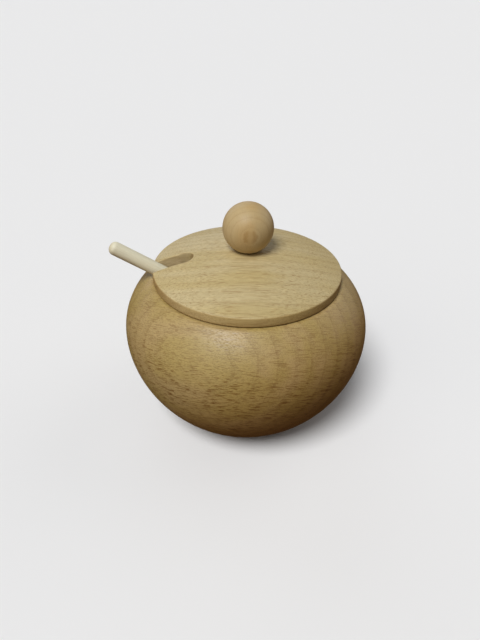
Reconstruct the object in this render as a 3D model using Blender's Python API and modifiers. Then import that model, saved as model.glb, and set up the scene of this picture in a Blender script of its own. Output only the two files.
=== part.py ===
"""Turned wooden sugar bowl with a notched, domed lid, a ball knob and a spoon on a round stick.

Lengths are in metres and +Z is up. The origin is the middle of the foot, on the surface that the
bowl stands on. The lid's notch and the free end of the spoon point along -X.
"""
import math

import bmesh
import bpy

# Bowl, outside
BELLY_RADIUS = 0.0560
BELLY_HEIGHT = 0.0462
FOOT_RADIUS = 0.0274
LIP_HEIGHT = 0.0722
SHOULDER_FULLNESS = 2.18
FLANK_FULLNESS = 1.86

# Bowl, inside
MOUTH_RADIUS = 0.0380
LIP_WIDTH = 0.0048
LIP_ROUNDING = 0.0030
LIP_UNDERCUT = math.radians(45)
WALL = 0.0090
FLOOR = 0.0095
HOLLOW_TOP_FULLNESS = 2.2
HOLLOW_FLOOR_FULLNESS = 2.3

# Lid
LID_INSET = 0.0010
LID_EDGE = 0.0043
LID_RISE = 0.0083
LID_EDGE_ROUNDING = 0.0005
SPIGOT_DEPTH = 0.0025
SPIGOT_PLAY = 0.0005
SPIGOT_CHAMFER = 0.0006

# Knob and the dowel that holds it
KNOB_RADIUS = 0.0110
KNOB_SEAT_WIDTH = 0.0022
DOWEL_RADIUS = 0.0025
DOWEL_CHAMFER = 0.0004
DOWEL_IN_LID = 0.0070
DOWEL_IN_KNOB = 0.0060

# Spoon
HANDLE_RADIUS = 0.0030
HANDLE_LENGTH = 0.0976
HANDLE_TILT = math.radians(32)
HANDLE_TIP_LENGTH = 0.0027
HANDLE_TIP_FULLNESS = 2.3
HANDLE_LOW_CHAMFER = 0.0004
SCOOP_RADIUS = 0.0120
SCOOP_WALL = 0.0030
SCOOP_RIM_ROUNDING = 0.0007
SCOOP_WOOD_OVER_HANDLE = 0.0015
SCOOP_BASE_RADIUS = 0.0045
HANDLE_IN_SCOOP = 0.0042

# Clearances
REST_GAP = 0.0003
GLUE_GAP = 0.0003
NOTCH_PLAY = 0.0012
NOTCH_END_PLAY = 0.0010

# Steps round each turned piece
BOWL_STEPS = 64
LID_STEPS = 64
KNOB_STEPS = 40
STICK_STEPS = 24
SCOOP_STEPS = 36

# Straight pieces along each curved stretch of a profile
HOLLOW_FLOOR_PIECES = 12
HOLLOW_TOP_PIECES = 6
LIP_PIECES = 5
SHOULDER_PIECES = 8
FLANK_PIECES = 9
DOME_PIECES = 7
NOTCH_END_PIECES = 14
BALL_PIECES = 15
TIP_PIECES = 6
SCOOP_PIECES = 8
MERGE_DISTANCE = 0.00001

# Sizes that follow from the ones above
LIP_OUTER_RADIUS = MOUTH_RADIUS + LIP_WIDTH
LIP_CENTRE_RADIUS = MOUTH_RADIUS + LIP_ROUNDING
LIP_CENTRE_HEIGHT = LIP_HEIGHT - LIP_ROUNDING
HOLLOW_RADIUS = BELLY_RADIUS - WALL
LID_RADIUS = LIP_OUTER_RADIUS - LID_INSET
LID_UNDERSIDE = LIP_HEIGHT + REST_GAP
LID_RIM_TOP = LID_UNDERSIDE + LID_EDGE
LID_APEX = LID_RIM_TOP + LID_RISE
LID_DOME_RADIUS = (LID_RADIUS ** 2 + LID_RISE ** 2) / (2 * LID_RISE)
SPIGOT_RADIUS = MOUTH_RADIUS - SPIGOT_PLAY
SPIGOT_BOTTOM = LID_UNDERSIDE - SPIGOT_DEPTH
DOWEL_BORE_RADIUS = DOWEL_RADIUS + GLUE_GAP
KNOB_SEAT_HEIGHT = LID_APEX + REST_GAP
KNOB_SEAT_RADIUS = DOWEL_BORE_RADIUS + KNOB_SEAT_WIDTH
KNOB_CENTRE_ABOVE_SEAT = math.sqrt(KNOB_RADIUS ** 2 - KNOB_SEAT_RADIUS ** 2)
SCOOP_BORE_RADIUS = HANDLE_RADIUS + GLUE_GAP
SCOOP_ABOVE_HANDLE = SCOOP_BORE_RADIUS + SCOOP_WOOD_OVER_HANDLE
SCOOP_HOLLOW_RADIUS = SCOOP_RADIUS - SCOOP_WALL


def angle_at(share, fullness):
    """Angle along a quarter curve where its height is this share of the full rise."""
    return math.asin(share ** (fullness / 2))


def full_rise(widest, end_radius, span, fullness):
    """Rise at which a quarter curve reaches end_radius after climbing span."""
    return span / (1 - (end_radius / widest) ** fullness) ** (1 / fullness)


def quarter_curve(widest, middle, rise, fullness, start, end, count):
    """Points of a quarter of a superellipse, as radius and height, from one angle to another."""
    points = []
    for step in range(count + 1):
        angle = start + (end - start) * step / count
        radius = widest * max(0.0, math.cos(angle)) ** (2 / fullness)
        height = middle + rise * max(0.0, math.sin(angle)) ** (2 / fullness)
        points.append((radius, height))
    return points


def arc(radius_to_centre, height_of_centre, arc_radius, start, end, count):
    """Points of a round arc, as radius and height."""
    points = []
    for step in range(count + 1):
        angle = start + (end - start) * step / count
        radius = radius_to_centre + arc_radius * math.cos(angle)
        points.append((radius, height_of_centre + arc_radius * math.sin(angle)))
    return points


def bowl_inside():
    """Inner surface of the bowl, from the middle of its floor up to the rounded lip."""
    end_angle = math.pi + LIP_UNDERCUT
    end_radius = LIP_CENTRE_RADIUS + LIP_ROUNDING * math.cos(end_angle)
    end_height = LIP_CENTRE_HEIGHT + LIP_ROUNDING * math.sin(end_angle)
    span = end_height - BELLY_HEIGHT
    rise = full_rise(HOLLOW_RADIUS, end_radius, span, HOLLOW_TOP_FULLNESS)
    top_angle = angle_at(span / rise, HOLLOW_TOP_FULLNESS)
    floor_drop = FLOOR - BELLY_HEIGHT
    points = quarter_curve(HOLLOW_RADIUS, BELLY_HEIGHT, floor_drop, HOLLOW_FLOOR_FULLNESS,
                           math.pi / 2, 0, HOLLOW_FLOOR_PIECES)
    points[0] = (0.0, FLOOR)
    points += quarter_curve(HOLLOW_RADIUS, BELLY_HEIGHT, rise, HOLLOW_TOP_FULLNESS,
                            0, top_angle, HOLLOW_TOP_PIECES)[1:]
    points += arc(LIP_CENTRE_RADIUS, LIP_CENTRE_HEIGHT, LIP_ROUNDING,
                  end_angle, math.pi / 2, LIP_PIECES)[1:]
    return points


def bowl_outside():
    """Outer surface of the bowl, from the lip down the round shoulder and flank to the foot."""
    span = LIP_HEIGHT - BELLY_HEIGHT
    rise = full_rise(BELLY_RADIUS, LIP_OUTER_RADIUS, span, SHOULDER_FULLNESS)
    lip_angle = angle_at(span / rise, SHOULDER_FULLNESS)
    drop = full_rise(BELLY_RADIUS, FOOT_RADIUS, BELLY_HEIGHT, FLANK_FULLNESS)
    foot_angle = angle_at(BELLY_HEIGHT / drop, FLANK_FULLNESS)
    points = quarter_curve(BELLY_RADIUS, BELLY_HEIGHT, rise, SHOULDER_FULLNESS,
                           lip_angle, 0, SHOULDER_PIECES)
    points += quarter_curve(BELLY_RADIUS, BELLY_HEIGHT, -drop, FLANK_FULLNESS,
                            0, foot_angle, FLANK_PIECES)[1:]
    points[-1] = (FOOT_RADIUS, 0.0)
    return points


def handle_line_start():
    """Point of the handle's axis beside the lip, as X and Z, where the stick rests on the bowl."""
    reach = LIP_ROUNDING + REST_GAP + HANDLE_RADIUS
    x = -(LIP_CENTRE_RADIUS - reach * math.sin(HANDLE_TILT))
    z = LIP_CENTRE_HEIGHT + reach * math.cos(HANDLE_TILT)
    return x, z


def distance_to_profile(radius, height, profile):
    """Shortest distance from a point to a line of profile points."""
    shortest = math.inf
    for (r0, z0), (r1, z1) in zip(profile, profile[1:]):
        dr = r1 - r0
        dz = z1 - z0
        share = ((radius - r0) * dr + (height - z0) * dz) / (dr * dr + dz * dz)
        share = min(1.0, max(0.0, share))
        gap = math.hypot(radius - r0 - share * dr, height - z0 - share * dz)
        shortest = min(shortest, gap)
    return shortest


def scoop_centre(depth):
    """Middle of the scoop's rim, as X and Z, when it lies this far down the handle's line."""
    x, z = handle_line_start()
    along_x = x + depth * math.cos(HANDLE_TILT)
    along_z = z - depth * math.sin(HANDLE_TILT)
    side_x = SCOOP_ABOVE_HANDLE * math.sin(HANDLE_TILT)
    side_z = SCOOP_ABOVE_HANDLE * math.cos(HANDLE_TILT)
    return along_x + side_x, along_z + side_z


def scoop_seat():
    """How far down the handle's line the scoop comes to rest on the inside of the bowl."""
    profile = bowl_inside()
    needed = SCOOP_RADIUS + REST_GAP
    clear = -handle_line_start()[0] / math.cos(HANDLE_TILT)
    blocked = clear + 2 * BELLY_RADIUS
    for _ in range(40):
        middle = (clear + blocked) / 2
        x, z = scoop_centre(middle)
        outside = abs(x) > HOLLOW_RADIUS or z < FLOOR
        if outside or distance_to_profile(abs(x), z, profile) < needed:
            blocked = middle
        else:
            clear = middle
    return clear


def remove_everything():
    """Empties the file's scene of objects and of collections left from an earlier run."""
    for item in list(bpy.data.objects):
        bpy.data.objects.remove(item, do_unlink=True)
    for group in list(bpy.data.collections):
        bpy.data.collections.remove(group)


def new_collection(name):
    """A collection linked to the scene."""
    group = bpy.data.collections.new(name)
    bpy.context.scene.collection.children.link(group)
    return group


def wood(name, colour, roughness):
    """Plain bare wood."""
    material = bpy.data.materials.new(name)
    material.use_nodes = True
    shader = material.node_tree.nodes["Principled BSDF"]
    shader.inputs["Base Color"].default_value = (*colour, 1.0)
    shader.inputs["Roughness"].default_value = roughness
    shader.inputs["Metallic"].default_value = 0.0
    material.diffuse_color = (*colour, 1.0)
    return material


def turned(name, profile, steps, group, material=None):
    """A lathe-turned solid: its profile of radius and height goes once round the Z axis."""
    mesh = bpy.data.meshes.new(name)
    corners = [(radius, 0.0, height) for radius, height in profile]
    links = [(i, i + 1) for i in range(len(corners) - 1)]
    mesh.from_pydata(corners, links, [])
    if material:
        mesh.materials.append(material)
    item = bpy.data.objects.new(name, mesh)
    group.objects.link(item)
    turn = item.modifiers.new("turn", "SCREW")
    turn.axis = "Z"
    turn.angle = math.tau
    turn.steps = steps
    turn.render_steps = steps
    turn.use_merge_vertices = True
    turn.merge_threshold = MERGE_DISTANCE
    turn.use_smooth_shade = True
    return item


def extruded_outline(name, outline, thickness, group):
    """A flat closed outline in X and Y, thickened evenly up and down, as a mesh."""
    curve = bpy.data.curves.new(name, "CURVE")
    curve.dimensions = "2D"
    curve.fill_mode = "BOTH"
    curve.extrude = thickness / 2
    spline = curve.splines.new("POLY")
    spline.points.add(len(outline) - 1)
    for point, (x, y) in zip(spline.points, outline):
        point.co = (x, y, 0.0, 1.0)
    spline.use_cyclic_u = True
    drawn = bpy.data.objects.new(name + "_outline", curve)
    group.objects.link(drawn)
    depsgraph = bpy.context.evaluated_depsgraph_get()
    mesh = bpy.data.meshes.new_from_object(drawn.evaluated_get(depsgraph))
    shape = bmesh.new()
    shape.from_mesh(mesh)
    bmesh.ops.remove_doubles(shape, verts=shape.verts, dist=MERGE_DISTANCE)
    bmesh.ops.recalc_face_normals(shape, faces=shape.faces)
    shape.to_mesh(mesh)
    shape.free()
    item = bpy.data.objects.new(name, mesh)
    item.matrix_world = drawn.matrix_world.copy()
    group.objects.link(item)
    bpy.data.objects.remove(drawn, do_unlink=True)
    return item


def cut(item, cutter):
    """Takes the cutter's shape out of the item."""
    cutter.hide_render = True
    cutter.display_type = "WIRE"
    boolean = item.modifiers.new("cut " + cutter.name, "BOOLEAN")
    boolean.operation = "DIFFERENCE"
    boolean.solver = "EXACT"
    boolean.object = cutter


def make_bowl(parts):
    """The round-bellied bowl: hollow, with a flat lip and a flat foot."""
    profile = bowl_inside() + bowl_outside() + [(0.0, 0.0)]
    return turned("bowl", profile, BOWL_STEPS, parts, wood("bowl_wood", (0.43, 0.30, 0.13), 0.6))


def lid_top_height(radius):
    """Height of the domed top of the lid at a distance from its middle."""
    return LID_APEX - LID_DOME_RADIUS + math.sqrt(LID_DOME_RADIUS ** 2 - radius ** 2)


def make_lid(parts, cutters):
    """The domed lid, with its spigot, the blind hole for the dowel and the notch for the spoon."""
    bore_floor = LID_APEX - DOWEL_IN_LID
    profile = [(0.0, bore_floor), (DOWEL_BORE_RADIUS, bore_floor)]
    dome_end = LID_RADIUS - LID_EDGE_ROUNDING
    for step in range(DOME_PIECES + 1):
        radius = DOWEL_BORE_RADIUS + (dome_end - DOWEL_BORE_RADIUS) * step / DOME_PIECES
        profile.append((radius, lid_top_height(radius)))
    rim_drop = lid_top_height(dome_end) - LID_EDGE_ROUNDING
    profile += arc(dome_end, rim_drop, LID_EDGE_ROUNDING, math.radians(45), 0, 1)
    profile.append((LID_RADIUS, LID_UNDERSIDE))
    profile.append((SPIGOT_RADIUS, LID_UNDERSIDE))
    profile.append((SPIGOT_RADIUS, SPIGOT_BOTTOM + SPIGOT_CHAMFER))
    profile.append((SPIGOT_RADIUS - SPIGOT_CHAMFER, SPIGOT_BOTTOM))
    profile.append((0.0, SPIGOT_BOTTOM))
    lid = turned("lid", profile, LID_STEPS, parts, wood("lid_wood", (0.58, 0.45, 0.24), 0.55))
    cut(lid, make_notch_cutter(cutters))
    return lid


def notch_inner_end():
    """How far from the lid's middle the notch begins, so that the leaning handle clears it."""
    x, z = handle_line_start()
    at_spigot = -x - (z - SPIGOT_BOTTOM) / math.tan(HANDLE_TILT)
    return at_spigot - HANDLE_RADIUS / math.sin(HANDLE_TILT) - NOTCH_END_PLAY


def make_notch_cutter(cutters):
    """The notch: straight sides, a round inner end, and open at the lid's rim."""
    half_width = HANDLE_RADIUS + NOTCH_PLAY
    centre = -(notch_inner_end() + half_width)
    outline = []
    for step in range(NOTCH_END_PIECES + 1):
        angle = -math.pi / 2 + math.pi * step / NOTCH_END_PIECES
        outline.append((centre + half_width * math.cos(angle), half_width * math.sin(angle)))
    open_end = -LID_RADIUS - half_width
    outline += [(open_end, half_width), (open_end, -half_width)]
    thickness = 2 * (LID_APEX - SPIGOT_BOTTOM)
    cutter = extruded_outline("notch_cutter", outline, thickness, cutters)
    cutter.location.z = (LID_APEX + SPIGOT_BOTTOM) / 2
    return cutter


def make_knob(parts):
    """The ball knob, flat where it sits on the lid, with a blind hole for the dowel."""
    flat_angle = -math.acos(KNOB_SEAT_RADIUS / KNOB_RADIUS)
    profile = arc(0.0, KNOB_CENTRE_ABOVE_SEAT, KNOB_RADIUS, math.pi / 2, flat_angle, BALL_PIECES)
    profile[0] = (0.0, KNOB_CENTRE_ABOVE_SEAT + KNOB_RADIUS)
    profile[-1] = (KNOB_SEAT_RADIUS, 0.0)
    profile += [(DOWEL_BORE_RADIUS, 0.0), (DOWEL_BORE_RADIUS, DOWEL_IN_KNOB), (0.0, DOWEL_IN_KNOB)]
    knob = turned("knob", profile, KNOB_STEPS, parts, wood("knob_wood", (0.50, 0.34, 0.17), 0.5))
    knob.location.z = KNOB_SEAT_HEIGHT
    return knob


def chamfered_end(radius, chamfer):
    """Section of a round stick's low end, eased twice as far along as in depth."""
    return [(radius, 2 * chamfer), (radius - chamfer, 0.0), (0.0, 0.0)]


def rounded_tip(radius, length):
    """Section of the handle's free end, rounded over by hand."""
    points = quarter_curve(radius, length - HANDLE_TIP_LENGTH, HANDLE_TIP_LENGTH,
                           HANDLE_TIP_FULLNESS, math.pi / 2, 0, TIP_PIECES)
    points[0] = (0.0, length)
    return points


def make_dowel(parts):
    """The dowel glued into the lid and the knob."""
    bottom = LID_APEX - DOWEL_IN_LID + GLUE_GAP
    top = KNOB_SEAT_HEIGHT + DOWEL_IN_KNOB - GLUE_GAP
    material = wood("dowel_wood", (0.66, 0.55, 0.36), 0.6)
    low_end = chamfered_end(DOWEL_RADIUS, DOWEL_CHAMFER)
    high_end = [(radius, top - bottom - height) for radius, height in reversed(low_end)]
    dowel = turned("knob_dowel", high_end + low_end, STICK_STEPS, parts, material)
    dowel.location.z = bottom
    return dowel


def make_spoon(parts, cutters):
    """The spoon leaning through the notch: a round stick glued into a turned scoop."""
    x, z = handle_line_start()
    line = bpy.data.objects.new("spoon_line", None)
    line.empty_display_size = HANDLE_RADIUS * 3
    line.location = (x, 0.0, z)
    line.rotation_euler = (0.0, HANDLE_TILT - math.pi / 2, 0.0)
    parts.objects.link(line)
    seat = scoop_seat()
    handle_end = -seat + SCOOP_RADIUS - HANDLE_IN_SCOOP
    pale = wood("spoon_wood", (0.74, 0.65, 0.47), 0.6)
    profile = rounded_tip(HANDLE_RADIUS, HANDLE_LENGTH)
    profile += chamfered_end(HANDLE_RADIUS, HANDLE_LOW_CHAMFER)
    handle = turned("spoon_handle", profile, STICK_STEPS, parts, pale)
    handle.parent = line
    handle.location.z = handle_end
    scoop = make_scoop(parts)
    scoop.parent = line
    scoop.rotation_euler = (0.0, math.pi / 2, 0.0)
    scoop.location = (SCOOP_ABOVE_HANDLE, 0.0, -seat)
    bore = turned("scoop_bore_cutter", bore_profile(), STICK_STEPS, cutters)
    bore.parent = line
    bore.location.z = -seat
    cut(scoop, bore)
    return handle, scoop


def bore_profile():
    """A plain cylinder that passes from the scoop's hollow out through its wall."""
    inner = SCOOP_HOLLOW_RADIUS / 2
    outer = SCOOP_RADIUS * 2
    return [(0.0, outer), (SCOOP_BORE_RADIUS, outer), (SCOOP_BORE_RADIUS, inner), (0.0, inner)]


def make_scoop(parts):
    """The half-ball scoop, turned with its rim at the origin and its hollow facing up."""
    rim_angle = -math.asin(SCOOP_RIM_ROUNDING / SCOOP_RADIUS)
    base_angle = -math.acos(SCOOP_BASE_RADIUS / SCOOP_RADIUS)
    base_height = SCOOP_RADIUS * math.sin(base_angle)
    hollow_floor = base_height + SCOOP_WALL
    hollow_drop = hollow_floor + SCOOP_RIM_ROUNDING
    round_fullness = 2.0
    profile = quarter_curve(SCOOP_HOLLOW_RADIUS, -SCOOP_RIM_ROUNDING, hollow_drop, round_fullness,
                            math.pi / 2, 0, SCOOP_PIECES)
    profile[0] = (0.0, hollow_floor)
    profile.append((SCOOP_HOLLOW_RADIUS + SCOOP_RIM_ROUNDING, 0.0))
    profile.append((SCOOP_RADIUS - SCOOP_RIM_ROUNDING, 0.0))
    profile += arc(0.0, 0.0, SCOOP_RADIUS, rim_angle, base_angle, SCOOP_PIECES)
    profile.append((0.0, base_height))
    return turned("spoon_scoop", profile, SCOOP_STEPS, parts,
                  wood("scoop_wood", (0.70, 0.60, 0.42), 0.6))


def main():
    """Builds the sugar bowl."""
    remove_everything()
    parts = new_collection("sugar_bowl")
    cutters = new_collection("cutters")
    make_bowl(parts)
    make_lid(parts, cutters)
    make_knob(parts)
    make_dowel(parts)
    make_spoon(parts, cutters)
    bpy.context.view_layer.update()


main()
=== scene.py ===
"""Looks of a turned wooden sugar bowl: bare beech with growth rings, pores and ray flecks, and a
spoon on a pale birch stick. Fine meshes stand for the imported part's pieces, at the same places.
Lengths are in metres, those of the grain in millimetres, and +Z is up. The lid's notch and the
spoon's free end point along -X.
"""
import math

import bmesh
import bpy
from mathutils import Matrix, Vector
from mathutils.geometry import delaunay_2d_cdt


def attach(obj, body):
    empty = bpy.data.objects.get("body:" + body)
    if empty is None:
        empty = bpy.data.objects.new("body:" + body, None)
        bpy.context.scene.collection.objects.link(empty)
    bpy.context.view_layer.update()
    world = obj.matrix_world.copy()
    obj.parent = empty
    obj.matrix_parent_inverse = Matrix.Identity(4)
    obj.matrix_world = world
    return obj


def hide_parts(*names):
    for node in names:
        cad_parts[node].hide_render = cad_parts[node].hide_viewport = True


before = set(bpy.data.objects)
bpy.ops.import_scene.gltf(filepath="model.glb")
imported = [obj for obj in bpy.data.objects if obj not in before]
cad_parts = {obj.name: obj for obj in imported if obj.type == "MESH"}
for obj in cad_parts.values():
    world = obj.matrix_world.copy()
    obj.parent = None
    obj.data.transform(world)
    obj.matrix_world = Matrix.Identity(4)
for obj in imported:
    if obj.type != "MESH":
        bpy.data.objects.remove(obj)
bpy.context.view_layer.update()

# Bowl
BELLY_RADIUS = 0.0560
BELLY_HEIGHT = 0.0462
FOOT_RADIUS = 0.0274
LIP_HEIGHT = 0.0722
SHOULDER_FULLNESS = 2.18
FLANK_FULLNESS = 1.86
MOUTH_RADIUS = 0.0380
LIP_WIDTH = 0.0048
LIP_ROUNDING = 0.0030
LIP_UNDERCUT = math.radians(45)
WALL = 0.0090
FLOOR = 0.0095
HOLLOW_TOP_FULLNESS = 2.2
HOLLOW_FLOOR_FULLNESS = 2.3
LIP_EDGE_EASE = 0.0011
FOOT_EDGE_EASE = 0.0008
HOLLOW_RADIUS = BELLY_RADIUS - WALL
LIP_OUTER_RADIUS = MOUTH_RADIUS + LIP_WIDTH
LIP_CENTRE_RADIUS = MOUTH_RADIUS + LIP_ROUNDING
LIP_CENTRE_HEIGHT = LIP_HEIGHT - LIP_ROUNDING

# Lid
LID_RADIUS = 0.0418
LID_UNDERSIDE = 0.0725
LID_EDGE = 0.0043
LID_RISE = 0.0083
LID_TOP_EASE = 0.0005
LID_LOW_EASE = 0.0006
SPIGOT_RADIUS = 0.0375
SPIGOT_DEPTH = 0.0025
SPIGOT_CHAMFER = 0.0006
SPIGOT_NOTCH_EASE = 0.0002
NOTCH_END = 0.02373
NOTCH_HALF_WIDTH = 0.0042
NOTCH_CORNER = 0.0007
NOTCH_END_X = -(NOTCH_END + NOTCH_HALF_WIDTH)
LID_APEX = LID_UNDERSIDE + LID_EDGE + LID_RISE
LID_DOME_RADIUS = (LID_RADIUS ** 2 + LID_RISE ** 2) / (2 * LID_RISE)

# Knob and its dowel
KNOB_RADIUS = 0.0110
KNOB_SEAT_RADIUS = 0.0050
KNOB_SEAT_HEIGHT = 0.0854
KNOB_SEAT_EASE = 0.0002
DOWEL_RADIUS = 0.0025
DOWEL_BORE_RADIUS = 0.0028
DOWEL_IN_LID = 0.0070
DOWEL_IN_KNOB = 0.0060
DOWEL_EASE = 0.0004
GLUE_GAP = 0.0003
DOWEL_LOW = LID_APEX - DOWEL_IN_LID + GLUE_GAP
DOWEL_LENGTH = KNOB_SEAT_HEIGHT + DOWEL_IN_KNOB - GLUE_GAP - DOWEL_LOW

# Spoon
HANDLE_START = Vector((-0.03766, 0.0, 0.07454))
HANDLE_TILT = math.radians(32)
HANDLE_RADIUS = 0.0030
HANDLE_LENGTH = 0.0976
HANDLE_LOW_END = -0.07243
HANDLE_TIP_LENGTH = 0.0027
HANDLE_TIP_FULLNESS = 2.25
HANDLE_LOW_EASE = 0.0004
SCOOP_SEAT = 0.08023
SCOOP_RADIUS = 0.0120
SCOOP_WALL = 0.0030
SCOOP_ABOVE_HANDLE = 0.0048
SCOOP_BASE_RADIUS = 0.0045
SCOOP_HOLLOW_FULLNESS = 2.0
SCOOP_EDGE_ANGLE = math.radians(-5)
SCOOP_BORE_RADIUS = 0.0033
SCOOP_BORE_TURN = math.radians(3.1)

# Fineness of the meshes, as steps along a profile or once round
HOLLOW_LOW_STEPS = 34
HOLLOW_TOP_STEPS = 16
LIP_STEPS = 12
SHOULDER_STEPS = 26
FLANK_STEPS = 34
BALL_STEPS = 44
TIP_STEPS = 14
SHAFT_STEPS = 12
SCOOP_STEPS = 24
SCOOP_RIM_STEPS = 6
EASE_STEPS = 5
FINE_EASE_STEPS = 3
RIM_STEPS = 200
NOTCH_CORNER_STEPS = 5
NOTCH_SIDE_STEPS = 14
NOTCH_END_STEPS = 22
BOWL_TURN_STEPS = 192
BALL_TURN_STEPS = 96
HANDLE_TURN_STEPS = 56
DOWEL_TURN_STEPS = 40
BORE_TURN_STEPS = 48

# Points over the lid's top, in rings
DOME_SPACING = 0.0014
DOME_FIRST_RING = 3
DOME_FEWEST_POINTS = 24
DOME_EDGE_CLEARANCE = 0.6 * DOME_SPACING
INSIDE_OUTLINE_ONLY = 1

# Distances below which points count as one
ON_AXIS = 1e-7
SAME_POINT = 1e-7
MERGE_DISTANCE = 0.000002

# Faces that meet at less than this angle are shaded as one smooth surface
SMOOTH_UP_TO = math.radians(34)


# Turned shapes

def arc(middle_x, middle_y, size, start, end, count):
    """Points of a round arc, from one angle to another."""
    angles = [start + (end - start) * step / count for step in range(count + 1)]
    return [(middle_x + size * math.cos(a), middle_y + size * math.sin(a)) for a in angles]


def quarter_curve(widest, middle, rise, fullness, start, end, count):
    """Points of a quarter of a superellipse, as radius and height, from one angle to another."""
    points = []
    for step in range(count + 1):
        angle = start + (end - start) * step / count
        radius = widest * max(0.0, math.cos(angle)) ** (2 / fullness)
        height = middle + rise * max(0.0, math.sin(angle)) ** (2 / fullness)
        points.append((radius, height))
    return points


def full_rise(widest, end_radius, span, fullness):
    """Rise at which a quarter curve reaches end_radius after climbing span."""
    return span / (1 - (end_radius / widest) ** fullness) ** (1 / fullness)


def angle_at(share, fullness):
    """Angle along a quarter curve where its height is this share of the full rise."""
    return math.asin(share ** (fullness / 2))


def eased(before, corner, after, reach, count=EASE_STEPS):
    """A corner of a profile, rounded over this reach to each side."""
    corner = Vector(corner)
    start = corner + (Vector(before) - corner).normalized() * reach
    end = corner + (Vector(after) - corner).normalized() * reach
    points = []
    for step in range(count + 1):
        share = step / count
        point = start.lerp(corner, share).lerp(corner.lerp(end, share), share)
        points.append((point.x, point.y))
    return points


def close_strip(shape, low, high):
    """Joins two loops of the same number of corners with a strip of faces."""
    count = len(low)
    for k in range(count):
        after = (k + 1) % count
        corners = [low[k], low[after], high[after], high[k]]
        kept = list(dict.fromkeys(corners))
        if len(kept) > 2:
            shape.faces.new(kept)


def turned(profile, steps, place=Matrix()):
    """A lathe-turned shape: its profile of radius and height goes once round the axis."""
    shape = bmesh.new()
    turns = [math.tau * k / steps for k in range(steps)]
    rings = []
    for radius, height in profile:
        if radius < ON_AXIS:
            rings.append([shape.verts.new((0.0, 0.0, height))] * steps)
        else:
            rings.append([shape.verts.new((radius * math.cos(a), radius * math.sin(a), height))
                          for a in turns])
    for low, high in zip(rings, rings[1:]):
        close_strip(shape, low, high)
    bmesh.ops.transform(shape, matrix=place, verts=shape.verts)
    return shape


def bowl_profile():
    """Section of the bowl: up its inside, over the lip, down the shoulder and flank to the foot."""
    undercut_end = math.pi + LIP_UNDERCUT
    neck_radius = LIP_CENTRE_RADIUS + LIP_ROUNDING * math.cos(undercut_end)
    neck_height = LIP_CENTRE_HEIGHT + LIP_ROUNDING * math.sin(undercut_end)
    climb = neck_height - BELLY_HEIGHT
    rise = full_rise(HOLLOW_RADIUS, neck_radius, climb, HOLLOW_TOP_FULLNESS)
    neck_angle = angle_at(climb / rise, HOLLOW_TOP_FULLNESS)
    inside = quarter_curve(HOLLOW_RADIUS, BELLY_HEIGHT, FLOOR - BELLY_HEIGHT,
                           HOLLOW_FLOOR_FULLNESS, math.pi / 2, 0, HOLLOW_LOW_STEPS)
    inside[0] = (0.0, FLOOR)
    inside += quarter_curve(HOLLOW_RADIUS, BELLY_HEIGHT, rise, HOLLOW_TOP_FULLNESS,
                            0, neck_angle, HOLLOW_TOP_STEPS)[1:]
    inside += arc(LIP_CENTRE_RADIUS, LIP_CENTRE_HEIGHT, LIP_ROUNDING,
                  undercut_end, math.pi / 2, LIP_STEPS)[1:]
    climb = LIP_HEIGHT - BELLY_HEIGHT
    rise = full_rise(BELLY_RADIUS, LIP_OUTER_RADIUS, climb, SHOULDER_FULLNESS)
    lip_angle = angle_at(climb / rise, SHOULDER_FULLNESS)
    drop = full_rise(BELLY_RADIUS, FOOT_RADIUS, BELLY_HEIGHT, FLANK_FULLNESS)
    foot_angle = angle_at(BELLY_HEIGHT / drop, FLANK_FULLNESS)
    shoulder = quarter_curve(BELLY_RADIUS, BELLY_HEIGHT, rise, SHOULDER_FULLNESS,
                             lip_angle, 0, SHOULDER_STEPS)
    flank = quarter_curve(BELLY_RADIUS, BELLY_HEIGHT, -drop, FLANK_FULLNESS,
                          0, foot_angle, FLANK_STEPS)[1:]
    lip = eased(inside[-1], (LIP_OUTER_RADIUS, LIP_HEIGHT), shoulder[1], LIP_EDGE_EASE)
    foot = eased(flank[-2], (FOOT_RADIUS, 0.0), (0.0, 0.0), FOOT_EDGE_EASE)
    return inside + lip + shoulder[1:] + flank[:-1] + foot + [(0.0, 0.0)]


def knob_profile():
    """Section of the knob: from its top round to the flat seat and up its blind hole."""
    middle_height = math.sqrt(KNOB_RADIUS ** 2 - KNOB_SEAT_RADIUS ** 2)
    seat_angle = -math.acos(KNOB_SEAT_RADIUS / KNOB_RADIUS)
    ball = arc(0.0, middle_height, KNOB_RADIUS, math.pi / 2, seat_angle, BALL_STEPS)
    ball[0] = (0.0, middle_height + KNOB_RADIUS)
    seat = eased(ball[-2], (KNOB_SEAT_RADIUS, 0.0), (0.0, 0.0), KNOB_SEAT_EASE,
                 FINE_EASE_STEPS)
    hole = [(DOWEL_BORE_RADIUS, 0.0), (DOWEL_BORE_RADIUS, DOWEL_IN_KNOB), (0.0, DOWEL_IN_KNOB)]
    return ball[:-1] + seat + hole


def dowel_profile():
    """Section of the short dowel from its high end down, both ends eased."""
    high = (DOWEL_RADIUS, DOWEL_LENGTH)
    low = (DOWEL_RADIUS, 0.0)
    return ([(0.0, DOWEL_LENGTH)] + eased((0.0, DOWEL_LENGTH), high, low, DOWEL_EASE)
            + eased(high, low, (0.0, 0.0), DOWEL_EASE) + [(0.0, 0.0)])


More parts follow.
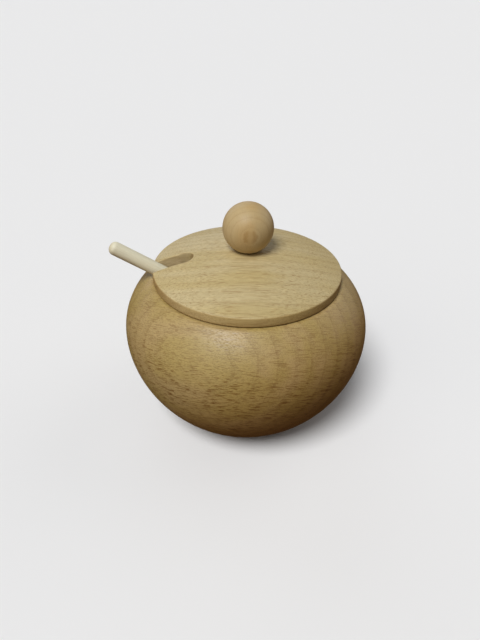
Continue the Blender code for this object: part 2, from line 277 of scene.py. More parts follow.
def handle_profile():
    """Section of the spoon's handle from its rounded tip down to its eased low end."""
    shaft_end = HANDLE_LENGTH - HANDLE_TIP_LENGTH
    points = quarter_curve(HANDLE_RADIUS, shaft_end, HANDLE_TIP_LENGTH, HANDLE_TIP_FULLNESS,
                           math.pi / 2, 0, TIP_STEPS)
    points[0] = (0.0, HANDLE_LENGTH)
    points += [(HANDLE_RADIUS, shaft_end * (1 - step / SHAFT_STEPS))
               for step in range(1, SHAFT_STEPS)]
    points += eased((HANDLE_RADIUS, HANDLE_LENGTH), (HANDLE_RADIUS, 0.0), (0.0, 0.0),
                    HANDLE_LOW_EASE)
    return points + [(0.0, 0.0)]


def scoop_profile():
    """Section of the half-ball scoop, its hollow facing up and its rim at height 0."""
    rim = SCOOP_WALL / 2
    base_angle = -math.acos(SCOOP_BASE_RADIUS / SCOOP_RADIUS)
    base_height = SCOOP_RADIUS * math.sin(base_angle)
    hollow_floor = base_height + SCOOP_WALL
    hollow_radius = SCOOP_RADIUS - SCOOP_WALL
    points = quarter_curve(hollow_radius, -rim / 2, hollow_floor + rim / 2,
                           SCOOP_HOLLOW_FULLNESS, math.pi / 2, 0, SCOOP_STEPS)
    points[0] = (0.0, hollow_floor)
    middle = hollow_radius + rim
    points += arc(middle, -rim / 2, rim, math.pi, math.pi / 2, SCOOP_RIM_STEPS)[1:-1]
    points = [(radius, min(height, 0.0)) for radius, height in points]
    points += arc(middle, -rim / 2, rim / 2, math.pi / 2, 0, SCOOP_RIM_STEPS)
    points += arc(0.0, 0.0, SCOOP_RADIUS, SCOOP_EDGE_ANGLE, base_angle, SCOOP_STEPS)
    return points + [(0.0, base_height)]


# The lid

def dome(radius):
    """Height of the domed top of the lid at a distance from its middle."""
    return LID_APEX - LID_DOME_RADIUS + math.sqrt(LID_DOME_RADIUS ** 2 - radius ** 2)


def straight(start_x, end_x, y, count):
    """Points of a line along X, without its first."""
    return [(start_x + (end_x - start_x) * step / count, y) for step in range(1, count + 1)]


def notched_outline(radius, inset, widen=0.0):
    """A disc's outline with the notch, drawn in by inset, as X and Y, anticlockwise."""
    half = NOTCH_HALF_WIDTH + widen + inset
    size = NOTCH_CORNER - inset
    side = half + size
    reach = radius - inset
    corner_x = -math.sqrt((reach - size) ** 2 - side ** 2)
    lean = math.atan2(side, corner_x)
    return (arc(0.0, 0.0, reach, -lean, lean, RIM_STEPS)
            + arc(corner_x, side, size, lean, 1.5 * math.pi, NOTCH_CORNER_STEPS)[1:]
            + straight(corner_x, NOTCH_END_X, half, NOTCH_SIDE_STEPS)
            + arc(NOTCH_END_X, 0.0, half, math.pi / 2, -math.pi / 2, NOTCH_END_STEPS)[1:]
            + straight(NOTCH_END_X, corner_x, -half, NOTCH_SIDE_STEPS)
            + arc(corner_x, -side, size, math.pi / 2, math.tau - lean, NOTCH_CORNER_STEPS)[1:-1])


def in_wood(x, y, inset):
    """True where the lid's top has wood, this far in from its edges."""
    radius = math.hypot(x, y)
    if radius > LID_RADIUS - inset or radius < DOWEL_BORE_RADIUS:
        return False
    half = NOTCH_HALF_WIDTH + inset
    if x < NOTCH_END_X:
        return abs(y) > half
    return math.hypot(x - NOTCH_END_X, y) > half


def level_loop(shape, outline, height):
    """Corners round an outline, all at one height."""
    return [shape.verts.new((x, y, height)) for x, y in outline]


def domed_loop(shape, outline, drop):
    """Corners round an outline, all this far below the dome."""
    return [shape.verts.new((x, y, dome(math.hypot(x, y)) - drop)) for x, y in outline]


def rounded_edge(reach, steps):
    """A quarter round from one face to the next, as distances from the next and the first."""
    turns = [math.pi / 2 * step / steps for step in range(steps + 1)]
    return [(reach * (1 - math.sin(a)), reach * (1 - math.cos(a))) for a in turns]


def lid_sides(shape):
    """The spigot, the underside, the rim and the notch's walls. Returns the top's outline."""
    low = LID_UNDERSIDE - SPIGOT_DEPTH
    spigot = notched_outline(SPIGOT_RADIUS, 0.0, SPIGOT_NOTCH_EASE)
    spigot_end = notched_outline(SPIGOT_RADIUS, SPIGOT_CHAMFER, SPIGOT_NOTCH_EASE)
    loops = [level_loop(shape, spigot_end, low),
             level_loop(shape, spigot, low + SPIGOT_CHAMFER),
             level_loop(shape, spigot, LID_UNDERSIDE)]
    for inset, rise in rounded_edge(LID_LOW_EASE, FINE_EASE_STEPS):
        outline = notched_outline(LID_RADIUS, inset)
        loops.append(level_loop(shape, outline, LID_UNDERSIDE + rise))
    for drop, inset in rounded_edge(LID_TOP_EASE, EASE_STEPS):
        loops.append(domed_loop(shape, notched_outline(LID_RADIUS, inset), drop))
    shape.faces.new(loops[0])
    for lower, upper in zip(loops, loops[1:]):
        close_strip(shape, lower, upper)
    return loops[-1]


def dowel_hole(shape):
    """The blind hole for the dowel. Returns the corners round its mouth."""
    ring = arc(0.0, 0.0, DOWEL_BORE_RADIUS, 0.0, math.tau, BORE_TURN_STEPS)[:-1]
    mouth = domed_loop(shape, ring, 0.0)
    floor = level_loop(shape, ring, LID_APEX - DOWEL_IN_LID)
    close_strip(shape, floor, mouth)
    shape.faces.new(floor)
    return mouth


def dome_points():
    """Points in rings over the lid's top, as X and Y, clear of its edges."""
    rings = int(LID_RADIUS / DOME_SPACING)
    points = []
    for number in range(DOME_FIRST_RING, rings + 1):
        radius = number * LID_RADIUS / rings
        count = max(DOME_FEWEST_POINTS, round(math.tau * radius / DOME_SPACING))
        for k in range(count):
            turn = math.tau * (k + 0.5 * (number % 2)) / count
            x, y = radius * math.cos(turn), radius * math.sin(turn)
            if in_wood(x, y, LID_TOP_EASE + DOME_EDGE_CLEARANCE):
                points.append(Vector((x, y)))
    return points


def lid_shape():
    """The domed, notched lid with its spigot and the blind hole for the dowel."""
    shape = bmesh.new()
    rim = lid_sides(shape)
    mouth = dowel_hole(shape)
    made = rim + mouth
    flat = [Vector(corner.co.xy) for corner in made] + dome_points()
    edges = [(k, (k + 1) % len(rim)) for k in range(len(rim))]
    edges += [(len(rim) + k, len(rim) + (k + 1) % len(mouth)) for k in range(len(mouth))]
    points, _, faces, sources, _, _ = delaunay_2d_cdt(flat, edges, [], INSIDE_OUTLINE_ONLY,
                                                      SAME_POINT)
    corners = []
    for point, source in zip(points, sources):
        known = [number for number in source if number < len(made)]
        if known:
            corners.append(made[known[0]])
        else:
            corners.append(shape.verts.new((point.x, point.y, dome(point.length))))
    for face in faces:
        middle = sum((points[k] for k in face), Vector((0.0, 0.0))) / len(face)
        if middle.length > DOWEL_BORE_RADIUS:
            shape.faces.new([corners[k] for k in face])
    return shape


# Objects

def new_object(name, shape):
    """An object with this shape as its mesh."""
    mesh = bpy.data.meshes.new(name)
    shape.to_mesh(mesh)
    shape.free()
    made = bpy.data.objects.new(name, mesh)
    bpy.context.scene.collection.objects.link(made)
    return made


def solid_object(name, shape):
    """A closed object, shaded smooth up to its sharp edges."""
    bmesh.ops.recalc_face_normals(shape, faces=shape.faces)
    made = new_object(name, shape)
    made.data.shade_smooth()
    made.data.set_sharp_from_angle(angle=SMOOTH_UP_TO)
    return made


def bore_scoop(scoop, spoon_place):
    """Bores the scoop for the handle, and clears the slivers that the cut leaves."""
    bore_end = (SCOOP_RADIUS - SCOOP_WALL) / 2
    profile = [(0.0, SCOOP_RADIUS * 2), (SCOOP_BORE_RADIUS, SCOOP_RADIUS * 2),
               (SCOOP_BORE_RADIUS, bore_end), (0.0, bore_end)]
    place = (spoon_place @ Matrix.Translation((0.0, 0.0, -SCOOP_SEAT))
             @ Matrix.Rotation(SCOOP_BORE_TURN, 4, "Z"))
    bore = solid_object("bore", turned(profile, BORE_TURN_STEPS, place))
    bpy.context.view_layer.objects.active = scoop
    boring = scoop.modifiers.new("bore", "BOOLEAN")
    boring.operation = "DIFFERENCE"
    boring.solver = "EXACT"
    boring.object = bore
    bpy.ops.object.modifier_apply(modifier=boring.name)
    bpy.data.objects.remove(bore)
    shape = bmesh.new()
    shape.from_mesh(scoop.data)
    bmesh.ops.triangulate(shape, faces=[face for face in shape.faces if len(face.verts) > 4])
    bmesh.ops.remove_doubles(shape, verts=shape.verts, dist=MERGE_DISTANCE)
    bmesh.ops.dissolve_degenerate(shape, edges=shape.edges, dist=MERGE_DISTANCE)
    shape.to_mesh(scoop.data)
    shape.free()
    scoop.data.set_sharp_from_angle(angle=SMOOTH_UP_TO)


# Shader nodes

MILLIMETRES = 1000
X_AXIS = (1.0, 0.0, 0.0)
Y_AXIS = (0.0, 1.0, 0.0)
Z_AXIS = (0.0, 0.0, 1.0)


class Field:
    """A value that varies over a surface: one output of a node, open to plain arithmetic."""

    def __init__(self, finish, socket):
        self.finish = finish
        self.socket = socket

    def __add__(self, other):
        return self.finish.math("ADD", self, other)

    __radd__ = __add__

    def __sub__(self, other):
        return self.finish.math("SUBTRACT", self, other)

    def __rsub__(self, other):
        return self.finish.math("SUBTRACT", other, self)

    def __mul__(self, other):
        return self.finish.math("MULTIPLY", self, other)

    __rmul__ = __mul__

    def __truediv__(self, other):
        return self.finish.math("DIVIDE", self, other)


class Finish:
    """The nodes of a material or of the world, and the one way in which they are made."""

    def __init__(self, owner):
        owner.use_nodes = True
        self.tree = owner.node_tree
        self.tree.nodes.clear()

    def node(self, kind, settings, sockets, output=None):
        """A node of this type: its settings first, then its sockets' values or links."""
        made = self.tree.nodes.new(kind)
        for key, value in settings.items():
            setattr(made, key, value)
        inputs = {socket.identifier: socket for socket in made.inputs}
        for key, value in sockets.items():
            if isinstance(value, Field):
                self.tree.links.new(value.socket, inputs[key])
            else:
                inputs[key].default_value = value
        outputs = {socket.identifier: socket for socket in made.outputs}
        return Field(self, outputs[output]) if output else None

    def math(self, operation, first, second=0.0):
        """A sum on numbers."""
        return self.node("ShaderNodeMath", {"operation": operation},
                         {"Value": first, "Value_001": second}, "Value")

    def vector(self, operation, first, second, output="Vector"):
        """A sum on places or directions."""
        return self.node("ShaderNodeVectorMath", {"operation": operation},
                         {"Vector": first, "Vector_001": second}, output)

    def dot(self, first, second):
        """How far one direction lies along another."""
        return self.vector("DOT_PRODUCT", first, second, "Value")

    def along(self, place, direction):
        """How far a place lies along a direction, in millimetres."""
        return self.dot(place, Vector(direction) * MILLIMETRES)

    def from_axis(self, place):
        """A place's X, and the square of its distance from the turning axis, in millimetres."""
        x = self.along(place, X_AXIS)
        y = self.along(place, Y_AXIS)
        return x, x * x + y * y

    def step(self, value, low, high):
        """0 below low, 1 above high and smooth in between."""
        return self.node("ShaderNodeMapRange", {"interpolation_type": "SMOOTHSTEP"},
                         {"Value": value, "From Min": low, "From Max": high}, "Result")

    def clouds(self, places, sizes, detail=2.0, roughness=0.5, shift=0.0):
        """Soft noise of these sizes, about 0.5 and mostly from 0.3 to 0.7."""
        x, y, z = [place / size for place, size in zip(places, sizes)]
        if shift:
            x = x + shift
        place = self.node("ShaderNodeCombineXYZ", {}, {"X": x, "Y": y, "Z": z}, "Vector")
        return self.node("ShaderNodeTexNoise", {},
                         {"Vector": place, "Scale": 1.0, "Detail": detail,
                          "Roughness": roughness}, "Fac")

    def mix(self, share, first, second, blend="MIX"):
        """Two colours mixed by a share."""
        return self.node("ShaderNodeMix", {"data_type": "RGBA", "blend_type": blend},
                         {"Factor_Float": share, "A_Color": first, "B_Color": second},
                         "Result_Color")

    def shade(self, colour, amount):
        """A colour times a number."""
        return self.node("ShaderNodeVectorMath", {"operation": "SCALE"},
                         {"Vector": colour, "Scale": amount}, "Vector")


def srgb(red, green, blue):
    """A screen colour from 0 to 255, as linear light."""
    def linear(level):
        share = level / 255
        return share / 12.92 if share <= 0.04045 else ((share + 0.055) / 1.055) ** 2.4
    return (linear(red), linear(green), linear(blue), 1.0)


# Grain, its sizes in millimetres along the fibre, outwards and sideways
BEND_SIZE = (60, 24, 24)
RIPPLE_SIZE = (12, 4, 4)
DRIFT_SIZE = (45, 9, 16)
BAND_SIZE = (70, 2.2, 2.6)
DOT_SIZE = (0.7, 0.42, 0.42)
PATCH_SIZE = (9, 7, 5)
PALE_STREAK_SIZE = (2.4, 0.55, 0.55)
WOBBLE_SIZE = (1.3, 1.6, 1.3)

# Shifts that keep patterns of like size apart
DOT_SHIFT = 17
PATCH_SHIFT = 8
PALE_STREAK_SHIFT = 40

# A year's ring, as shares of its width from its dark edge, and how much years differ
RING_EDGE = 0.05
LATE_WOOD_END = 0.60
RING_LINE_END = 0.20
FAINTEST_YEAR = 0.55
YEAR_VARIETY = 0.75

# Levels of soft noise between which a mark fades in, or the width of that fade
DRIFT_SPAN = (0.36, 0.64)
DOT_SPAN = (0.60, 0.70)
PALE_STREAK_SPAN = (0.58, 0.70)
PATCH_SPAN = (0.30, 0.62)
PORE_SOFTNESS = 0.09
RAY_SOFTNESS = 0.05

# How strong the rays stay between their patches
RAYS_BETWEEN_PATCHES = 0.6

# How far a face looks along the fibre where its end grain begins to show, and shows in full
END_GRAIN_SPAN = (0.45, 1.0)

# How much the rays show low on the belly, and how much of that is lost at the shoulder
RAYS_LOW = 1.1
RAYS_LOST = 0.55

# What the grain does to the surface
PORE_ROUGHNESS = 0.12
RAY_ROUGHNESS = 0.08
FIBRE_ROUGHNESS = 0.2
FIBRE_RIDGE = 0.5
PORE_HOLLOW = 0.7
RAY_HOLLOW = 0.2
GRAIN_DEPTH = 0.00012

# How far, in metres, a face looks away from the hollow's middle, from the inside to the outside
OUTSIDE_SPAN = (-0.002, 0.002)

# Where the lid's edges lie, in millimetres, for the painted shade on them, and how level a face is
# where it isn't one of them
NOTCH_END_SPAN = (-31.0, -25.0)
RIM_SPAN = (38.0, 40.5)
GAP_SHADOW_SPAN = (72.8, 73.4)
LEVEL_FACE_SPAN = (0.3, 0.8)

# The eye's oval, its darker sides and how deep it goes
EYE_WOBBLE = 0.9
EYE_EDGE = (0.72, 1.18)
EYE_SIDES = (0.15, 0.55)
EYE_OFF_CENTRE = (0.1, 0.5)
EYE_FRONT = (-3.0, -1.0)
EYE_MIDDLE_SHADE = 0.35


def tree_places(finish, place, wood):
    """A point's place in the tree: along the fibre, out from the pith and sideways."""
    if "dome_follow" in wood:
        _, squared = finish.from_axis(place)
        sag = squared / (2 * MILLIMETRES ** 2 * LID_DOME_RADIUS)
        lift = finish.node("ShaderNodeCombineXYZ", {}, {"Z": sag * wood["dome_follow"]}, "Vector")
        place = finish.vector("ADD", place, lift)
    fibre = Vector(wood["fibre"]).normalized()
    outward = Vector(wood["outward"])
    outward = (outward - fibre * outward.dot(fibre)).normalized()
    sideways = fibre.cross(outward)
    crown = Vector(wood["crown"]) * MILLIMETRES
    lengthwise = finish.along(place, fibre)
    out = finish.along(place, outward) + (wood["pith"] - crown.dot(outward))
    side = finish.along(place, sideways) - crown.dot(sideways)
    radius = finish.math("SQRT", out * out + side * side)
    bend = finish.clouds((lengthwise, out, side), BEND_SIZE) - 0.5
    ripple = finish.clouds((lengthwise, out, side), RIPPLE_SIZE) - 0.5
    return lengthwise, radius + bend * wood["bend"] + ripple * wood["ripple"], side


def year_rings(finish, radius, wood):
    """How far a point is in the late wood of its year, and how dark the rings are there."""
    depth = wood["pith"] - radius
    spread = 1 + depth * (wood["widening"] / wood["first_ring"])
    rings = finish.math("LOGARITHM", spread, math.e) / wood["widening"] + wood["ring_shift"]
    year = finish.math("FLOOR", rings)
    part = finish.math("FRACT", rings)
    vigour = finish.node("ShaderNodeTexWhiteNoise", {"noise_dimensions": "1D"},
                         {"W": year}, "Value")
    edge = finish.step(part, 0.0, RING_EDGE)
    late = edge * (1 - finish.step(part, RING_EDGE, LATE_WOOD_END))
    line = edge * (1 - finish.step(part, RING_EDGE, RING_LINE_END))
    shade = late * wood["late"] + line * wood["line"]
    return late, shade * (FAINTEST_YEAR + YEAR_VARIETY * vigour)


def eye_mark(finish, place, eye):
    """A small darker oval in the grain, darkest at its two sides, where a twig once started."""
    middle = Vector(eye["middle"])
    across, along, toward = [
        finish.along(place, direction) - Vector(direction).dot(middle) * MILLIMETRES
        for direction in (eye["across"], eye["along"], eye["toward"])]
    wobble = finish.clouds((across, along, toward), WOBBLE_SIZE) - 0.5
    x = across / eye["half_width"]
    z = along / eye["half_height"]
    reach = finish.math("SQRT", x * x + z * z) + wobble * EYE_WOBBLE
    oval = 1 - finish.step(reach, *EYE_EDGE)
    off_centre = finish.step(finish.math("ABSOLUTE", x), *EYE_OFF_CENTRE)
    sides = finish.step(reach, *EYE_SIDES) * off_centre
    front = finish.step(toward, *EYE_FRONT)
    return oval * (EYE_MIDDLE_SHADE + sides * (1 - EYE_MIDDLE_SHADE)) * front * eye["shade"]


def painted_side_shade(finish, colour, place, facing, wood):
    """A colour darkened towards some sides of the piece as painted shade, on the outside alone
    where it is hollow.
    """
    if "hollow_about" in wood:
        from_middle = finish.vector("SUBTRACT", place, wood["hollow_about"])
        outside = finish.step(finish.dot(facing, from_middle), *OUTSIDE_SPAN)
    for toward, start, end, tint in wood["painted_shade_tints"]:
        share = finish.step(finish.along(place, toward), start, end)
        if "hollow_about" in wood:
            share = share * outside
        colour = finish.mix(share, colour, tint, "MULTIPLY")
    return colour


def painted_edge_shade(finish, colour, place, facing, painted_shade_tints):
    """The lid's colour with painted shade at its edges: a warmer, darker rim as painted shade and
    warm bounce light, a painted shadow under its low edge and painted shade on the walls of the
    notch.
    """
    level = finish.math("ABSOLUTE", finish.dot(facing, Z_AXIS))
    upright = 1 - finish.step(level, *LEVEL_FACE_SPAN)
    x, squared = finish.from_axis(place)
    rim = finish.step(finish.math("SQRT", squared), *RIM_SPAN)
    # Painted shade on the notch's walls, darkest at its end, and painted shade with warm bounce
    # light on the rim.
    notch = finish.mix(finish.step(x, *NOTCH_END_SPAN), painted_shade_tints["notch"], painted_shade_tints["notch_end_shade"])
    colour = finish.mix(upright, colour, finish.mix(rim, notch, painted_shade_tints["rim"]), "MULTIPLY")
    # Painted shadow in the gap under the lid's low edge.
    low = upright * (1 - finish.step(finish.along(place, Z_AXIS), *GAP_SHADOW_SPAN)) * rim
    return finish.mix(low, colour, painted_shade_tints["gap_shadow"], "MULTIPLY")


def bare_wood(name, wood):
    """Bare turned wood as a solid grain: rings, pores, rays, fibres and broad colour drifts, with
    painted shade on some sides and edges.
    """
    material = bpy.data.materials.new(name)
    finish = Finish(material)
    place = finish.node("ShaderNodeTexCoord", {}, {}, "Object")
    facing = finish.node("ShaderNodeTexCoord", {}, {}, "Normal")
    grain = tree_places(finish, place, wood)
    late, ring_shade = year_rings(finish, grain[1], wood)
    if "eye" in wood:
        ring_shade = ring_shade + eye_mark(finish, place, wood["eye"])

    drift = finish.step(finish.clouds(grain, DRIFT_SIZE), *DRIFT_SPAN)
    band = finish.clouds(grain, BAND_SIZE) - 0.5
    fibres = finish.clouds(grain, wood["fibre_size"], detail=3.0, roughness=0.65) - 0.5
    pore_noise = finish.clouds(grain, wood["pore_size"], detail=1.0) + late * wood["pore_gather"]
    pores = finish.step(pore_noise, wood["pore_from"], wood["pore_from"] + PORE_SOFTNESS)
    ray_noise = finish.clouds(grain, wood["ray_size"], detail=1.0) + late * wood["ray_gather"]
    rays = finish.step(ray_noise, wood["ray_from"], wood["ray_from"] + RAY_SOFTNESS)
    patch_noise = finish.clouds(grain, PATCH_SIZE, detail=1.0, shift=PATCH_SHIFT)
    patches = finish.step(patch_noise, *PATCH_SPAN)
    rays = rays * (patches * (1 - RAYS_BETWEEN_PATCHES) + RAYS_BETWEEN_PATCHES)
    dot_noise = finish.clouds(grain, DOT_SIZE, detail=0.0, shift=DOT_SHIFT)
    dots = finish.step(dot_noise, *DOT_SPAN)
    pale_noise = finish.clouds(grain, PALE_STREAK_SIZE, detail=1.0, shift=PALE_STREAK_SHIFT)
    pale = finish.step(pale_noise, *PALE_STREAK_SPAN)
    across = finish.dot(facing, Vector(wood["fibre"]).normalized())
    end_grain = finish.step(finish.math("ABSOLUTE", across), *END_GRAIN_SPAN)

    ray_shade = wood["ray_shade"]
    if "rays_fade" in wood:
        fade = finish.step(finish.along(place, Z_AXIS), *wood["rays_fade"])
        ray_shade = ray_shade * (RAYS_LOW - RAYS_LOST * fade)
    colour = finish.mix(drift, wood["colour"], wood["second_colour"])
    colour = finish.mix(ring_shade, colour, wood["late_colour"])
    colour = finish.mix(pores * wood["pore_shade"], colour, wood["pore_colour"])
    colour = finish.mix(rays * ray_shade, colour, wood["ray_colour"])
    colour = finish.mix(end_grain * wood["end_shade"], colour, wood["pore_colour"])
    level = 1 + fibres * wood["fibre_shade"] + band * wood["band_shade"]
    level = level + pale * wood["pale_shade"] - dots * wood["dot_shade"]
    colour = finish.shade(colour, level)
    colour = painted_side_shade(finish, colour, place, facing, wood)
    if "painted_edge_shade" in wood:
        colour = painted_edge_shade(finish, colour, place, facing, wood["painted_edge_shade"])

    roughness = (wood["roughness"] + pores * PORE_ROUGHNESS - rays * RAY_ROUGHNESS
                 + fibres * FIBRE_ROUGHNESS)
    height = fibres * FIBRE_RIDGE - pores * PORE_HOLLOW - rays * RAY_HOLLOW
    bump = finish.node("ShaderNodeBump", {},
                       {"Strength": wood["bump"], "Distance": GRAIN_DEPTH, "Height": height},
                       "Normal")
    shader = finish.node("ShaderNodeBsdfPrincipled", {},
                         {"Base Color": colour, "Roughness": roughness, "Normal": bump,
                          "Specular IOR Level": wood["shine"]}, "BSDF")
    finish.node("ShaderNodeOutputMaterial", {}, {"Surface": shader})
    return material


# Woods
# The fibre and the way outward say how a piece lies in the tree. Its crown is a point that lies
# "pith" millimetres from the pith. The rings there are "first_ring" millimetres wide, and each
# one nearer the pith is wider by the share "widening". Each side tint is painted shade: a
# direction, the distances along it between which the tint comes in, in millimetres, and its colour.

BEECH = {
    "pith": 150.0, "first_ring": 4.2, "widening": 0.02, "ring_shift": 0.0,
    "bend": 1.0, "ripple": 0.7, "late": 0.09, "line": 0.09,
    "pore_size": (1.5, 0.30, 0.30), "pore_from": 0.54, "pore_gather": 0.05, "pore_shade": 0.28,
    "ray_size": (3.2, 6.0, 0.30), "ray_from": 0.56, "ray_gather": 0.04, "ray_shade": 0.50,
    "fibre_size": (9.0, 0.45, 0.45), "fibre_shade": 0.30, "band_shade": 0.10,
    "pale_shade": 0.06, "dot_shade": 0.06, "end_shade": 0.12,
    "roughness": 0.46, "bump": 0.5, "shine": 0.5, "painted_shade_tints": (),
    "ray_colour": srgb(112, 76, 28),
}

BOWL_BEECH = {
    **BEECH,
    "fibre": (0.9007, -0.4157, 0.1264), "outward": (-0.4268, -0.7881, 0.4436),
    "crown": (-0.0252, -0.0465, 0.0602), "pith": 223.0,
    "first_ring": 3.17, "widening": 0.0943, "ring_shift": 0.447, "late": 0.06, "line": 0.085,
    "ray_from": 0.565, "ray_shade": 0.74, "rays_fade": (46.0, 66.0), "bump": 0.20,
    "colour": srgb(178, 152, 101), "second_colour": srgb(172, 148, 88),
    "late_colour": srgb(128, 98, 48), "pore_colour": srgb(104, 76, 36),
    "hollow_about": (0.0, 0.0, BELLY_HEIGHT),
    # Painted shade and painted warm bounce light: the belly darker and warmer low on its right and
    # front, on the outside only.
    "painted_shade_tints": (((0.45, -0.45, -0.77), -32.0, -8.0, (0.95, 0.87, 0.78, 1.0)),
              ((0.4, -0.2, -0.89), -34.0, -10.0, (0.76, 0.66, 0.53, 1.0))),
}

LID_BEECH = {
    **BEECH,
    "fibre": (0.9962, -0.0872, 0.0), "outward": (0.0777, 0.8876, 0.454),
    "crown": (0.007, 0.0799, 0.0409), "pith": 240.0, "dome_follow": 0.35,
    "first_ring": 2.6, "bend": 1.2, "ripple": 0.4, "late": 0.08,
    "pore_size": (12.0, 0.22, 0.22), "pore_from": 0.56, "pore_shade": 0.46,
    "fibre_size": (24.0, 0.32, 0.32), "fibre_shade": 0.32,
    "ray_shade": 0.06, "dot_shade": 0.03, "pale_shade": 0.09, "end_shade": 0.40,
    "roughness": 0.52, "bump": 0.3, "shine": 0.32,
    "colour": srgb(198, 180, 136), "second_colour": srgb(192, 172, 122),
    "late_colour": srgb(150, 124, 72), "pore_colour": srgb(138, 100, 46),
    # Painted shade: the lid a little darker towards its right and front.
    "painted_shade_tints": (((0.7, -0.7, 0.0), -8.0, 40.0, (0.92, 0.91, 0.88, 1.0)),),
    # Painted shade at the lid's edges: a warmer, darker rim for shade and warm bounce light, a
    # painted shadow in the gap under it, and painted shade on the notch's walls, darkest at its
    # end.
    "painted_edge_shade": {"rim": (1.0, 0.92, 0.78, 1.0), "gap_shadow": (0.50, 0.38, 0.24, 1.0),
                   "notch": (0.95, 0.93, 1.0, 1.0), "notch_end_shade": (0.76, 0.74, 0.74, 1.0)},
}

KNOB_FRONT = (-0.0001, -0.0110, 0.0957)
KNOB_BEECH = {
    **BEECH,
    "fibre": (0.0, 0.044, 0.999), "outward": (0.0, -0.999, 0.044),
    "crown": KNOB_FRONT, "pith": 90.0,
    "first_ring": 2.1, "ring_shift": 0.7, "bend": 0.8, "ripple": 0.3, "late": 0.07,
    "pore_size": (2.6, 0.36, 0.36), "pore_from": 0.62, "pore_shade": 0.12,
    "fibre_shade": 0.10, "band_shade": 0.08, "ray_shade": 0.05, "dot_shade": 0.02,
    "pale_shade": 0.02, "end_shade": 0.05, "roughness": 0.50, "bump": 0.25, "shine": 0.30,
    "colour": srgb(190, 166, 121), "second_colour": srgb(188, 158, 107),
    "late_colour": srgb(150, 110, 54), "pore_colour": srgb(130, 98, 58),
    "eye": {"middle": KNOB_FRONT, "across": X_AXIS,
            "along": (0.0, 0.044, 0.999), "toward": (0.0, -0.999, 0.044),
            "half_width": 3.1, "half_height": 2.9, "shade": 0.44},
}

DOWEL_BEECH = {
    **BEECH,
    "fibre": Z_AXIS, "outward": X_AXIS,
    "crown": (0.0025, 0.0, 0.088), "pith": 30.0, "first_ring": 1.6,
    "colour": srgb(206, 188, 150), "second_colour": srgb(200, 180, 138),
    "late_colour": srgb(170, 144, 100), "pore_colour": srgb(140, 112, 74),
}

HANDLE_BIRCH = {
    **BEECH,
    "fibre": (-0.848048, 0.0, 0.529919), "outward": (0.3, -0.8, 0.5),
    "crown": (-0.0350, -0.0080, 0.0795), "pith": 100.0,
    "first_ring": 1.9, "bend": 0.8, "ripple": 0.2, "late": 0.10, "line": 0.08,
    "pore_size": (7.0, 0.32, 0.32), "pore_from": 0.60, "pore_shade": 0.14,
    "fibre_shade": 0.10, "band_shade": 0.06, "ray_shade": 0.04, "dot_shade": 0.0,
    "pale_shade": 0.03, "end_shade": 0.22, "roughness": 0.55, "bump": 0.3,
    "colour": srgb(229, 223, 196), "second_colour": srgb(225, 215, 184),
    "late_colour": srgb(200, 184, 144), "pore_colour": srgb(176, 156, 116),
}

SCOOP_BIRCH = {
    **HANDLE_BIRCH,
    "fibre": (0.848048, 0.0, -0.529919),
    "colour": srgb(216, 204, 172), "second_colour": srgb(210, 196, 160),
}


# The pieces

knob_place = Matrix.Translation((0.0, 0.0, KNOB_SEAT_HEIGHT))
dowel_place = Matrix.Translation((0.0, 0.0, DOWEL_LOW))
spoon_place = (Matrix.Translation(HANDLE_START)
               @ Matrix.Rotation(HANDLE_TILT - math.pi / 2, 4, "Y"))
handle_place = spoon_place @ Matrix.Translation((0.0, 0.0, HANDLE_LOW_END))
scoop_place = (spoon_place @ Matrix.Translation((SCOOP_ABOVE_HANDLE, 0.0, -SCOOP_SEAT))
               @ Matrix.Rotation(math.pi / 2, 4, "Y"))

bowl_shape = turned(bowl_profile(), BOWL_TURN_STEPS)
knob_shape = turned(knob_profile(), BALL_TURN_STEPS, knob_place)
dowel_shape = turned(dowel_profile(), DOWEL_TURN_STEPS, dowel_place)
handle_shape = turned(handle_profile(), HANDLE_TURN_STEPS, handle_place)
scoop_shape = turned(scoop_profile(), BALL_TURN_STEPS, scoop_place)

for name, shape, body, node, slot, wood in (
        ("turned_bowl", bowl_shape, "bowl", "bowl", "bowl_wood", BOWL_BEECH),
        ("domed_lid", lid_shape(), "lid", "lid", "lid_wood", LID_BEECH),
        ("ball_knob", knob_shape, "lid", "knob", "knob_wood", KNOB_BEECH),
        ("glued_dowel", dowel_shape, "lid", "knob_dowel", "dowel_wood", DOWEL_BEECH),
        ("birch_handle", handle_shape, "spoon", "spoon_handle", "spoon_wood", HANDLE_BIRCH),
        ("birch_scoop", scoop_shape, "spoon", "spoon_scoop", "scoop_wood", SCOOP_BIRCH)):
    piece = solid_object(name, shape)
    if node == "spoon_scoop":
        bore_scoop(piece, spoon_place)
    piece.data.materials.append(bare_wood(slot, wood))
    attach(piece, body)
    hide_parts(node)


# Floor, light and camera

FLOOR_REACH = 6.0
FLOOR_ROUGHNESS = 0.9
FLOOR_SHINE = 0.1
FLOOR_SEEN = (0.88, 0.872, 0.868, 1.0)
FLOOR_BESIDE_WOOD = (0.09, 0.04, 0.013, 1.0)
BACKGROUND_SEEN = (0.815, 0.817, 0.821, 1.0)
GLOSS_OF_BACKGROUND = 0.5
AIR_COLOUR = (0.94, 0.97, 1.0, 1.0)
AIR_STRENGTH = 0.08
LAMP_DISTANCE = 2.0
CAMERA_PLACE = Vector((-0.02092, -0.20773, 0.19244))
CAMERA_AIM = Vector((0.07154, 0.81776, -0.57110)).normalized()
CAMERA_ROLL = math.radians(-1.104)


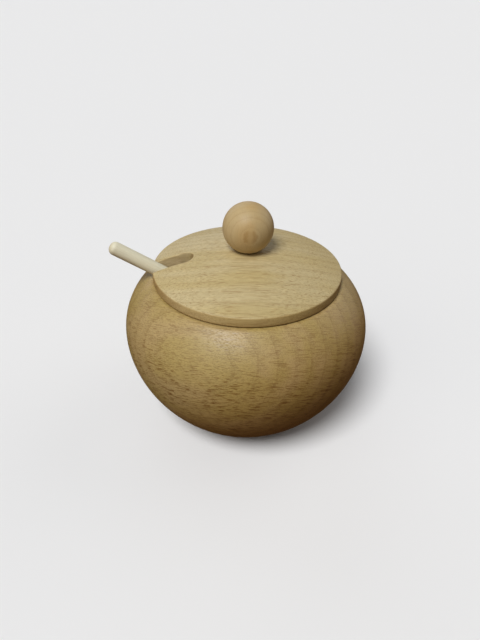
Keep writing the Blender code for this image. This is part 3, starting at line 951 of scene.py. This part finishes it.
def plain_floor():
    """A wide floor under the bowl, pale to the camera and dark to the wood above it."""
    shape = bmesh.new()
    bmesh.ops.create_circle(shape, cap_ends=True, segments=64, radius=FLOOR_REACH)
    floor = new_object("floor", shape)
    material = bpy.data.materials.new("floor_paper")
    finish = Finish(material)
    seen = finish.node("ShaderNodeLightPath", {}, {}, "Is Camera Ray")
    colour = finish.mix(seen, FLOOR_BESIDE_WOOD, FLOOR_SEEN)
    shader = finish.node("ShaderNodeBsdfPrincipled", {},
                         {"Base Color": colour, "Roughness": FLOOR_ROUGHNESS,
                          "Specular IOR Level": FLOOR_SHINE}, "BSDF")
    finish.node("ShaderNodeOutputMaterial", {}, {"Surface": shader})
    floor.data.materials.append(material)


def pale_surround():
    """A world that is pale to the camera, and dim to the wood."""
    world = bpy.data.worlds.new("pale_surround")
    bpy.context.scene.world = world
    sky = Finish(world)
    camera_ray = sky.node("ShaderNodeLightPath", {}, {}, "Is Camera Ray")
    glossy_ray = sky.node("ShaderNodeLightPath", {}, {}, "Is Glossy Ray")
    dim = sky.node("ShaderNodeBackground", {},
                   {"Color": AIR_COLOUR, "Strength": AIR_STRENGTH}, "Background")
    bright = sky.node("ShaderNodeBackground", {},
                      {"Color": BACKGROUND_SEEN, "Strength": 1.0}, "Background")
    shader = sky.node("ShaderNodeMixShader", {},
                      {"Fac": glossy_ray * GLOSS_OF_BACKGROUND + camera_ray,
                       "Shader": dim, "Shader_001": bright}, "Shader")
    sky.node("ShaderNodeOutputWorld", {}, {"Surface": shader})


def soft_sun(name, direction, angle, strength, colour):
    """A sun with a wide disc, which lights the object and the floor alike from this side."""
    lamp = bpy.data.lights.new(name, "SUN")
    lamp.angle = angle
    lamp.energy = strength
    lamp.color = colour
    holder = bpy.data.objects.new(name, lamp)
    aim = Vector(direction).normalized()
    holder.location = aim * LAMP_DISTANCE
    holder.rotation_euler = aim.to_track_quat("Z", "Y").to_euler()
    bpy.context.scene.collection.objects.link(holder)


def front_camera():
    """The camera, a little above the bowl, before it and to its left."""
    data = bpy.data.cameras.new("camera")
    data.lens = 30.0
    data.sensor_width = 36.0
    data.clip_start = 0.01
    data.clip_end = 50.0
    camera = bpy.data.objects.new("camera", data)
    bpy.context.scene.collection.objects.link(camera)
    level_right = CAMERA_AIM.cross(Vector(Z_AXIS)).normalized()
    level_down = CAMERA_AIM.cross(level_right)
    right = math.cos(CAMERA_ROLL) * level_right + math.sin(CAMERA_ROLL) * level_down
    down = math.cos(CAMERA_ROLL) * level_down - math.sin(CAMERA_ROLL) * level_right
    turn = Matrix((right, -down, -CAMERA_AIM)).transposed()
    camera.matrix_world = Matrix.Translation(CAMERA_PLACE) @ turn.to_4x4()
    bpy.context.scene.camera = camera


plain_floor()
pale_surround()
soft_sun("key", (-0.30, -0.465, 0.833), angle=0.42, strength=2.68, colour=(0.98, 0.99, 1.0))
soft_sun("left_fill", (-0.78, -0.48, 0.40), angle=1.0, strength=0.42, colour=(1.0, 0.94, 0.86))
soft_sun("right_fill", (0.78, 0.36, 0.47), angle=1.0, strength=0.42, colour=(1.0, 0.95, 0.90))
soft_sun("back_fill", (-0.25, 0.88, 0.40), angle=1.0, strength=0.40, colour=(0.80, 0.89, 1.0))
front_camera()

bpy.context.scene.view_settings.view_transform = "Standard"
